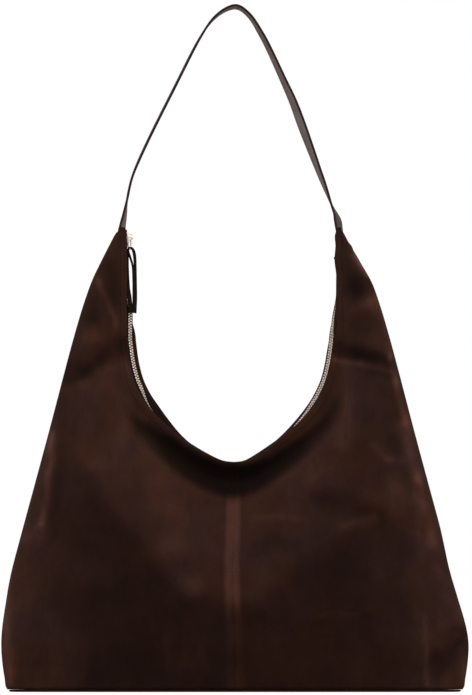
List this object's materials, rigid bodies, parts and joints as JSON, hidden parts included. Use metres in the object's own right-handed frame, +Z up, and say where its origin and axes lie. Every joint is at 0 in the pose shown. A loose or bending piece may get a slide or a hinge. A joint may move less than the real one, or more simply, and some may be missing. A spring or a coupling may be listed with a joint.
{
  "type": "hobo bag",
  "caption": "Large slouchy suede shoulder bag with a deep U-shaped zipped opening between two peaks and one leather strap.",
  "frame": {"origin": "centre of the underside of the base, on the plane the bag stands on", "axes": "+Z up, +X to the right seen from the front, the front faces -Y"},
  "size_m": [0.4652, 0.1272, 0.6854],
  "materials": {
    "suede": "dark brown suede",
    "strap_leather": "smooth, semi-gloss",
    "lining": "fine cotton twill",
    "zip_tape": "herringbone tape",
    "zip_teeth": "antique light gold",
    "gold_metal": "polished light gold",
    "board": "matte"
  },
  "bodies": {
    "bag": {"front_panel_left": "suede", "front_panel_right": "suede", "back_panel_left": "suede", "back_panel_right": "suede", "base_panel": "suede", "rim_facing_front": "suede", "rim_facing_back": "suede", "lining_front": "lining", "lining_back": "lining", "lining_base": "lining", "inner_pocket": "lining", "strap_end_left": "strap_leather", "strap_end_right": "strap_leather", "zip_tape_front": "zip_tape", "zip_tape_back": "zip_tape", "zip_teeth_front": "zip_teeth", "zip_teeth_back": "zip_teeth", "zip_top_stop_front": "gold_metal", "zip_top_stop_back": "gold_metal", "zip_bottom_stop": "gold_metal", "base_board": "board"},
    "slider": {"zip_slider": "gold_metal"},
    "bail": {"zip_pull_bail": "gold_metal"},
    "pull": {"zip_pull_thong": "strap_leather"},
    "strap": {"strap_outer_layer": "strap_leather", "strap_backing_layer": "strap_leather"}
  },
  "joints": [
    {"name": "zip_slide", "type": "slide", "parent": "bag", "child": "slider", "axis": [0, 0, -1], "range_m": [0, 0.035]},
    {"name": "bail_swing", "type": "hinge", "parent": "slider", "child": "bail", "pos_m": [-0.1043, 0, 0.4515], "axis": [0, -1, 0], "range_deg": [0, 150]},
    {"name": "pull_swing", "type": "hinge", "parent": "bail", "child": "pull", "pos_m": [-0.1043, 0, 0.4405], "axis": [0, -1, 0], "range_deg": [0, 25]},
    {"name": "strap_swing", "type": "hinge", "parent": "bag", "child": "strap", "pos_m": [0, 0, 0.48], "axis": [1, 0, 0], "range_deg": [-120, 120], "stiffness_Nm_per_rad": 0.6}
  ]
}
